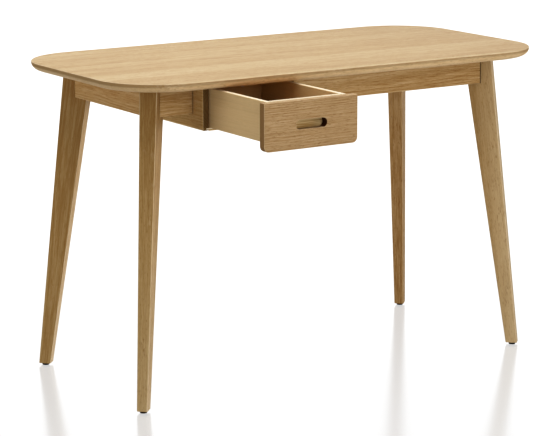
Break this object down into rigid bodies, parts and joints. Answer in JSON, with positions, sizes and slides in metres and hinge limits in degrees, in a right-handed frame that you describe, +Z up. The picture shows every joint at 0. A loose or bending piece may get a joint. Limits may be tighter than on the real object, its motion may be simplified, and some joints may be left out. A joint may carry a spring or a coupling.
{
  "type": "writing desk",
  "caption": "Rounded-rectangle writing desk on splayed, tapered legs, with an open drawer in an under-top case.",
  "frame": {"origin": "on the floor, under the middle of the object's box with the drawer standing open as at rest", "axes": "+Z up, +X to the right along the desktop's long side as seen by someone facing the drawer, +Y towards the back; the drawer opens towards -Y"},
  "size_m": [1.2, 0.793, 0.76],
  "materials": {
    "oak_top": "oiled, fine straight grain",
    "oak_legs": "oiled",
    "oak_aprons": "oiled",
    "oak_case": "oiled",
    "oak_drawer_front": "oiled",
    "birch_ply": "clear lacquer",
    "beech": "sanded, unfinished",
    "zinc_steel": "zinc plated",
    "screw_steel": "zinc plated",
    "glide_plastic": "moulded"
  },
  "bodies": {
    "desk": {"apron_back": "oak_aprons", "apron_front_left": "oak_aprons", "apron_front_right": "oak_aprons", "apron_left": "oak_aprons", "apron_right": "oak_aprons", "case_back": "birch_ply", "case_bottom": "birch_ply", "case_cleat_left": "beech", "case_cleat_right": "beech", "case_front_strip": "oak_case", "case_screw_left_1": "screw_steel", "case_screw_left_2": "screw_steel", "case_screw_right_1": "screw_steel", "case_screw_right_2": "screw_steel", "case_side_left": "oak_case", "case_side_right": "oak_case", "corner_block_back_left": "beech", "corner_block_back_right": "beech", "corner_block_front_left": "beech", "corner_block_front_right": "beech", "desktop": "oak_top", "drawer_stop": "beech", "glide_back_left": "glide_plastic", "glide_back_right": "glide_plastic", "glide_front_left": "glide_plastic", "glide_front_right": "glide_plastic", "leg_back_left": "oak_legs", "leg_back_right": "oak_legs", "leg_bolt_back_left_1": "zinc_steel", "leg_bolt_back_left_2": "zinc_steel", "leg_bolt_back_right_1": "zinc_steel", "leg_bolt_back_right_2": "zinc_steel", "leg_bolt_front_left_1": "zinc_steel", "leg_bolt_front_left_2": "zinc_steel", "leg_bolt_front_right_1": "zinc_steel", "leg_bolt_front_right_2": "zinc_steel", "leg_front_left": "oak_legs", "leg_front_right": "oak_legs", "stop_screw": "screw_steel", "top_bracket_back": "zinc_steel", "top_bracket_back_screw_apron": "screw_steel", "top_bracket_back_screw_top": "screw_steel", "top_bracket_front": "zinc_steel", "top_bracket_front_screw_apron": "screw_steel", "top_bracket_front_screw_top": "screw_steel", "top_screw_back_left": "screw_steel", "top_screw_back_right": "screw_steel", "top_screw_front_left": "screw_steel", "top_screw_front_right": "screw_steel"},
    "drawer": {"drawer_back": "birch_ply", "drawer_bottom": "birch_ply", "drawer_front": "oak_drawer_front", "drawer_side_left": "birch_ply", "drawer_side_right": "birch_ply", "drawer_sub_front": "birch_ply", "front_screw_1": "screw_steel", "front_screw_2": "screw_steel"}
  },
  "joints": [
    {"name": "drawer_slide", "type": "slide", "parent": "desk", "child": "drawer", "axis": [0, -1, 0], "range_m": [-0.2362, 0.054]}
  ]
}
